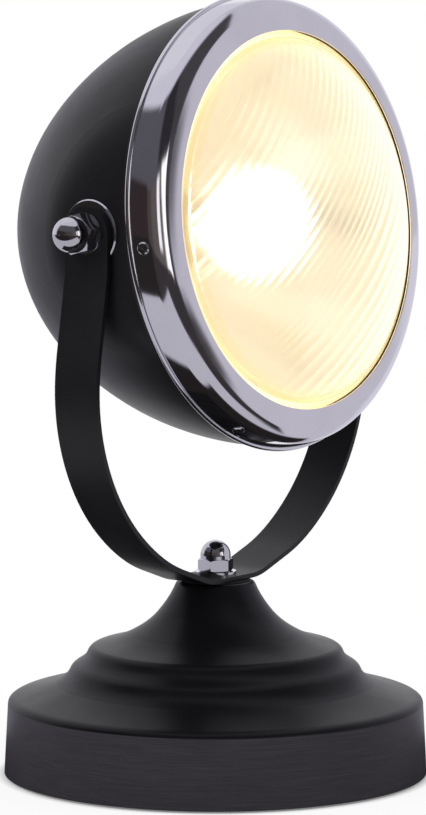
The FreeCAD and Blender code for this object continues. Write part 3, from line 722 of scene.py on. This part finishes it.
FLOOR_PAINT = (0.80, 0.80, 0.80)
FLOOR_FRONT_LEFT, FLOOR_FRONT_RIGHT = (0.022, 0.019, 0.019), (0.042, 0.037, 0.039)
FLOOR_BACK = (0.72, 0.705, 0.78)
FLOOR_NEAR = (0.53, 0.515, 0.585)
# A painted shadow of the lamp on the floor, as metal and glass show it
FLOOR_PAINTED_SHADOW = (0.018, 0.015, 0.016)

ROOM_LEFT, ROOM_FRONT, ROOM_RIGHT = (0.036, 0.026, 0.027), (0.076, 0.064, 0.064), (0.125, 0.105, 0.10)
ROOM_ABOVE, ROOM_UPPER_RIGHT = (0.10, 0.096, 0.112), (0.028, 0.025, 0.03)
ROOM_PAST_STRIPS = (0.06, 0.055, 0.062)
CEILING = (0.66, 0.645, 0.73)
ROOM_BACK, ROOM_LEFT_BACK = (0.72, 0.71, 0.78), (0.75, 0.74, 0.80)

# Two bright strips in the dark front of the room: bearings, softness, heights and tone
STRIPS = [((37.5, 44.0), 0.7, (2.0, 22.0), (1.1, 1.08, 1.1)),
          ((47.5, 61.0), 0.9, (-3.0, 24.0), (1.35, 1.33, 1.35))]
STRIP_END_SOFT = 1.5

# How much plain white covers the lamp's shadow: a fifth up to the edge of the base, most of it
# just outside, and all of it from the end of the fade on
SHADOW_EDGE, SHADOW_EDGE_WHITE = (87.5 * MM, 92.0 * MM), 0.2
SHADOW_FADE, SHADOW_FADE_WHITE = (0.09, 0.20), 0.88

FLOOR_SIZE = 6.0
LAMP_AIM = (0.0, 0.0, 0.15)


def bearing(graph, vector):
    """Degrees round the set: 0 to its front, 90 to its right, 180 to its back."""
    turn = graph.math("ARCTAN2", graph.dot(vector, SET_RIGHT), graph.dot(vector, SET_FRONT))
    return graph.math("DEGREES", turn)


def seen_by_metal(graph, rays):
    """1 for what metal or glass shows."""
    return graph.math("MAXIMUM", rays.outputs["Is Glossy Ray"], rays.outputs["Is Transmission Ray"])


def floor_tones(graph, place, distance):
    """The floor as metal and glass show it: dark at the front of the set, pale elsewhere."""
    turn = bearing(graph, place)
    side = graph.math("ABSOLUTE", turn)
    front, right = graph.dot(place, SET_FRONT), graph.dot(place, SET_RIGHT)

    def less(value, slope, other):
        """A distance that is counted from a slanting line."""
        return graph.math("SUBTRACT", value, graph.times(other, slope))

    tone = graph.blend(FLOOR_FRONT_LEFT, FLOOR_FRONT_RIGHT, turn, -20.0, 5.0)

    # The right side, which starts further round close to the lamp, and the back
    edge = graph.math("SUBTRACT", turn, graph.math("DIVIDE", 5.5, distance))
    tone = graph.blend(tone, LILAC, edge, 66.5, 69.5)
    tone = graph.blend(tone, FLOOR_BACK, side, 128.0, 138.0)

    # A mid tone round the lamp, as far as two slanting edges ahead and to the right
    ahead = graph.before(less(front, 0.68, right), 0.535, 0.565)
    beside = graph.before(less(right, 0.55, front), 0.205, 0.235)
    tone = graph.mix_color(graph.times(ahead, beside), tone, FLOOR_NEAR)

    # A bright wedge behind the lamp, narrower further off
    wedge = graph.math("SUBTRACT", side, graph.range(distance, 0.38, 0.50, 0.0, 15.0, smooth=True))
    behind = graph.times(graph.after(wedge, 149.0, 155.0), graph.before(front, -0.11, -0.08))
    tone = graph.mix_color(behind, tone, BRIGHT)

    # Painted shadow of the lamp on the floor, close round and beneath it
    under = graph.times(graph.between(right, -0.20, 0.19, 0.01), graph.after(front, -0.10, -0.08))
    under = graph.times(under, graph.before(less(front, 0.2, right), 0.145, 0.165))
    return graph.mix_color(under, tone, FLOOR_PAINTED_SHADOW)


def studio_floor():
    """A pale floor: white to the camera but for the lamp's shadow, with its own tones in metal."""
    corners = [(-FLOOR_SIZE, -FLOOR_SIZE, 0), (FLOOR_SIZE, -FLOOR_SIZE, 0),
               (FLOOR_SIZE, FLOOR_SIZE, 0), (-FLOOR_SIZE, FLOOR_SIZE, 0)]
    floor = make_mesh("studio_floor", corners, [(0, 1, 2, 3)], smooth=False)
    material, graph, output = new_material("studio_floor")
    diffuse = graph.add("ShaderNodeBsdfDiffuse")
    graph.link(varied(graph, FLOOR_PAINT, 0.01, 2.0), diffuse.inputs["Color"])
    place = graph.place()
    length = graph.add("ShaderNodeVectorMath", operation="LENGTH")
    graph.link(place, length.inputs[0])
    distance = length.outputs["Value"]
    rays = graph.add("ShaderNodeLightPath")

    cover = graph.math("MINIMUM", graph.range(distance, *SHADOW_EDGE, SHADOW_EDGE_WHITE, 1.0),
                       graph.range(distance, *SHADOW_FADE, SHADOW_FADE_WHITE, 1.0, smooth=True))
    white = graph.times(rays.outputs["Is Camera Ray"], cover)
    shown = graph.mix_shader(white, diffuse.outputs[0], graph.light("ShaderNodeEmission", WHITE))
    mirrored = graph.light("ShaderNodeEmission", floor_tones(graph, place, distance))
    graph.link(graph.mix_shader(seen_by_metal(graph, rays), shown, mirrored), output.inputs["Surface"])
    floor.data.materials.append(material)


def room_tones(graph, direction):
    """The room as metal and glass show it: dark to the front and left, pale elsewhere."""
    height = graph.math("DEGREES", graph.math("ARCSINE", graph.along("Z", direction)))
    turn = bearing(graph, direction)
    side = graph.math("ABSOLUTE", turn)

    # The dark front, paler from left to right, and what is above it and past the strips
    tone = graph.blend(ROOM_LEFT, ROOM_FRONT, turn, -46.0, -14.0)
    tone = graph.blend(tone, ROOM_RIGHT, turn, 6.0, 24.0)
    tone = graph.blend(tone, ROOM_ABOVE, height, 20.0, 24.0)
    upper_right = graph.times(graph.after(height, 22.0, 28.0), graph.after(turn, 34.0, 42.0))
    tone = graph.mix_color(upper_right, tone, ROOM_UPPER_RIGHT)
    tone = graph.blend(tone, ROOM_PAST_STRIPS, turn, 58.0, 62.0)
    for bearings, soft, heights, bright in STRIPS:
        strip = graph.times(graph.between(turn, *bearings, soft),
                            graph.between(height, *heights, STRIP_END_SOFT))
        tone = graph.mix_color(strip, tone, bright)

    # The ceiling, which reaches lower to the right and to the left
    lowered = graph.math("ADD", graph.range(turn, 12.0, 45.0, 0.0, 6.0, smooth=True),
                         graph.range(turn, -97.0, -55.0, 15.0, 0.0))
    tone = graph.blend(tone, CEILING, graph.math("ADD", height, lowered), 57.0, 63.0)

    # The right side, whose edge leans back as it rises
    lean = graph.times(graph.times(height, height), 0.019)
    tone = graph.blend(tone, LILAC, graph.math("SUBTRACT", turn, lean), 66.5, 70.5)

    # The back, bright in its middle up to a height of 30 degrees, and the left behind the lamp
    tone = graph.blend(tone, ROOM_BACK, side, 146.0, 154.0)
    back = graph.times(graph.after(side, 165.0, 171.0), graph.before(height, 25.0, 33.0))
    tone = graph.mix_color(back, tone, BRIGHT)
    left_back = graph.times(graph.between(turn, -165.0, -102.0, 10.0),
                            graph.range(height, 5.0, 45.0, 1.0, 0.9))
    return graph.mix_color(left_back, tone, ROOM_LEFT_BACK)


def studio_world():
    """White for the camera, the made-up room for metal and glass, a soft grey to light the rest."""
    world = bpy.data.worlds.new("studio")
    bpy.context.scene.world = world
    world.use_nodes = True
    graph = Graph(world.node_tree)
    output = graph.add("ShaderNodeOutputWorld")
    rays = graph.add("ShaderNodeLightPath")
    direction = graph.add("ShaderNodeTexCoord").outputs["Generated"]
    grey, room, white = (graph.light("ShaderNodeBackground", color)
                         for color in (GREY_LIGHT, room_tones(graph, direction), WHITE))
    lit = graph.mix_shader(seen_by_metal(graph, rays), grey, room)
    graph.link(graph.mix_shader(rays.outputs["Is Camera Ray"], lit, white), output.inputs["Surface"])


def area_lamp(name, place, size, power):
    """A rectangular light that points at the lamp and doesn't show in its chrome."""
    light = bpy.data.lights.new(name, "AREA")
    light.shape = "RECTANGLE"
    light.size, light.size_y = size
    light.energy = power
    lamp = bpy.data.objects.new(name, light)
    bpy.context.scene.collection.objects.link(lamp)
    lamp.location = place
    lamp.visible_glossy = False
    lamp.rotation_euler = (Vector(LAMP_AIM) - Vector(place)).to_track_quat("-Z", "Y").to_euler()


def camera():
    data = bpy.data.cameras.new("camera")
    data.lens = CAM_LENS
    data.sensor_width = CAM_SENSOR
    data.sensor_fit = "AUTO"
    data.clip_end = 50.0
    cam = bpy.data.objects.new("camera", data)
    bpy.context.scene.collection.objects.link(cam)
    forward = Vector((math.sin(CAM_TURN) * math.cos(CAM_DOWN), math.cos(CAM_TURN) * math.cos(CAM_DOWN),
                      -math.sin(CAM_DOWN)))
    aim = Vector((CAM_AIM_RIGHT * SET_RIGHT[0], CAM_AIM_RIGHT * SET_RIGHT[1], CAM_AIM_Z))
    cam.location = aim - forward * CAM_DISTANCE
    cam.rotation_euler = forward.to_track_quat("-Z", "Y").to_euler()
    bpy.context.scene.camera = cam


studio_floor()
studio_world()
area_lamp("key", (-1.6, 0.3, 1.5), (0.7, 1.2), 16.0)
area_lamp("fill", (0.9, -1.7, 1.3), (0.9, 0.9), 9.0)
camera()
bpy.context.scene.view_settings.view_transform = "Standard"
